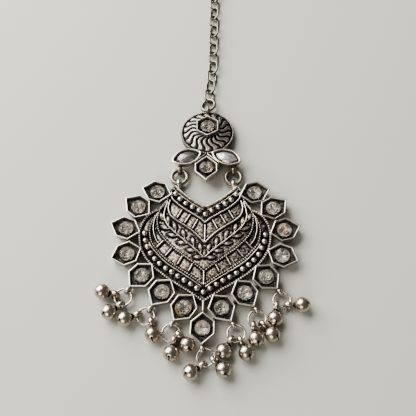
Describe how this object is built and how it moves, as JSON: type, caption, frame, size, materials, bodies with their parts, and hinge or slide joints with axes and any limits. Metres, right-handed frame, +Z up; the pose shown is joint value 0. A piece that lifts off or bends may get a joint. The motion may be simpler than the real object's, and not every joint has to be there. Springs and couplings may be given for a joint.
{
  "type": "forehead jewel",
  "caption": "Silver-toned maang tikka: a crescent plate of stone settings with hanging bells, under a sun-ray disc on a chain with a hair hook.",
  "frame": {"origin": "on the surface that the jewel lies on, under the middle of its whole box", "axes": "+Z up from the surface, +Y along the chain towards the hook, +X to the right as seen from the face"},
  "size_m": [0.0514, 0.1308, 0.0049],
  "materials": {
    "cast_metal": "oxidised silver, polished on the raised parts and dark in the recesses",
    "wire_metal": "polished silver, slightly worn",
    "bell_metal": "bright polished silver",
    "clear_stone": "clear cut glass over a foiled back",
    "mirror_stone": "flat-topped mirror glass, slightly lilac"
  },
  "bodies": {
    "root": {"main_plate": "cast_metal", "top_casting": "cast_metal", "rim_stone_01": "clear_stone", "rim_stone_02": "clear_stone", "rim_stone_03": "clear_stone", "rim_stone_04": "clear_stone", "rim_stone_05": "clear_stone", "rim_stone_06": "clear_stone", "rim_stone_07": "clear_stone", "rim_stone_08": "clear_stone", "rim_stone_09": "clear_stone", "rim_stone_10": "clear_stone", "rim_stone_11": "clear_stone", "rim_stone_12": "clear_stone", "rim_stone_13": "clear_stone", "rim_stone_14": "clear_stone", "rim_stone_15": "clear_stone", "stone_disc": "clear_stone", "stone_drop": "clear_stone", "marquise_left": "mirror_stone", "marquise_right": "mirror_stone", "jump_ring_left": "wire_metal", "jump_ring_right": "wire_metal", "top_ring": "wire_metal", "drop_ring_1": "wire_metal", "drop_ring_2": "wire_metal", "drop_ring_3": "wire_metal", "drop_ring_4": "wire_metal", "drop_ring_5": "wire_metal", "drop_ring_6": "wire_metal", "drop_ring_7": "wire_metal", "bell_1a": "bell_metal", "bell_1b": "bell_metal", "bell_2a": "bell_metal", "bell_2b": "bell_metal", "bell_3a": "bell_metal", "bell_3b": "bell_metal", "bell_4a": "bell_metal", "bell_4b": "bell_metal", "bell_5a": "bell_metal", "bell_5b": "bell_metal", "bell_6a": "bell_metal", "bell_6b": "bell_metal", "bell_7a": "bell_metal", "bell_7b": "bell_metal", "chain": "wire_metal", "hook": "wire_metal"}
  },
  "joints": []
}
